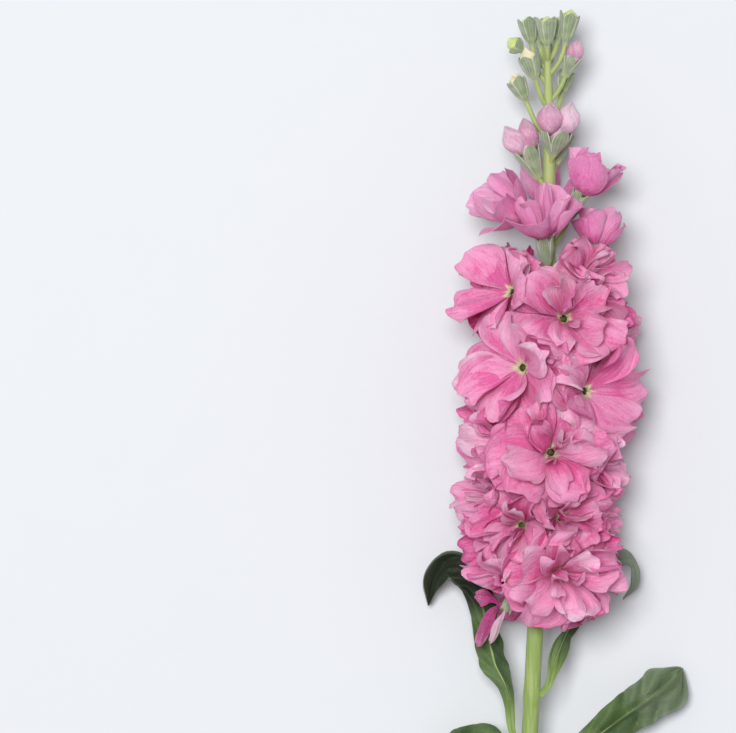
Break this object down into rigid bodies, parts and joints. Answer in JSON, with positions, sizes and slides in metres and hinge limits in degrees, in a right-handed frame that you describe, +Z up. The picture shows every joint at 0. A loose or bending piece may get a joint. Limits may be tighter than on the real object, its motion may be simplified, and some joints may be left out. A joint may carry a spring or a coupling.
{
  "type": "stock flower stem",
  "caption": "Cut stem of double stock lying on its side: a dense spike of ruffled pink blooms, opening flowers, pink and green buds at the tip, and wavy strap leaves below.",
  "frame": {"origin": "under the middle of the whole stem's box, on the surface that it lies on", "axes": "+Y along the stem from its cut end to its tip, +Z up, +X to the right when seen from above with the tip at the top"},
  "size_m": [0.1212, 0.4522, 0.0667],
  "materials": {
    "petal": "soft satin petal, deep pink in the folds and paler at the rims",
    "bud_petal": "soft satin petal, pale pink",
    "withered_petal": "wilted petal, darker and dull",
    "stem": "fresh green stem, felted grey-green on the calyces and buds",
    "leaf": "dark green leaf with a pale midrib and a satin surface"
  },
  "bodies": {
    "root": {"flower_01": "petal", "flower_02": "petal", "flower_03": "petal", "flower_04": "petal", "flower_05": "petal", "flower_06": "petal", "flower_07": "petal", "flower_08": "petal", "flower_09": "petal", "flower_10": "petal", "flower_11": "petal", "flower_12": "petal", "flower_13": "petal", "flower_14": "petal", "flower_15": "petal", "flower_16": "petal", "flower_17": "petal", "flower_18": "petal", "flower_19": "petal", "flower_20": "petal", "flower_21": "petal", "flower_22": "petal", "flower_23": "petal", "flower_24": "petal", "flower_25": "petal", "flower_26": "petal", "flower_27": "petal", "leaf_1": "leaf", "leaf_2": "leaf", "leaf_3": "leaf", "leaf_4": "leaf", "leaf_5": "leaf", "leaf_6": "leaf", "leaf_7": "leaf", "opening_flower_1": "petal", "opening_flower_2": "petal", "opening_flower_3": "petal", "opening_flower_4": "petal", "opening_flower_5": "petal", "pink_bud_1": "bud_petal", "pink_bud_2": "bud_petal", "pink_bud_3": "bud_petal", "pink_bud_4": "bud_petal", "stem": "stem", "withered_flower": "withered_petal"}
  },
  "joints": []
}
